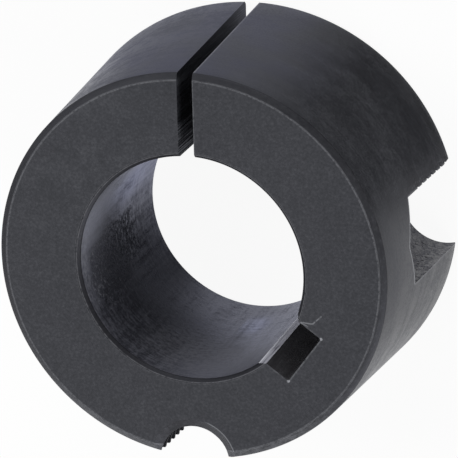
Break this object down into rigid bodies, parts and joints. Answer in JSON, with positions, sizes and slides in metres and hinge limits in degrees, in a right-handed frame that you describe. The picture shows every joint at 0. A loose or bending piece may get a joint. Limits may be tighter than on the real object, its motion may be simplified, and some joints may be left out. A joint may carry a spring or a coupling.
{
  "type": "taper bush",
  "caption": "Split conical bush with a straight keyed bore and blind and threaded half-holes in its tapered seat; screws draw it into a tapered hub so it clamps a shaft.",
  "frame": {"origin": "centre of the bore at the large end's face", "axes": "+Z along the bore axis from the large end to the small end; the saw slot is at +Y, the threaded jacking half-hole at -Y, the blind screw half-holes near +X and -X"},
  "size_m": [0.0472, 0.0473, 0.0254],
  "materials": {
    "blackened_iron": "black phosphate, satin, machined"
  },
  "bodies": {
    "root": {"taper_bush": "blackened_iron"}
  },
  "joints": []
}
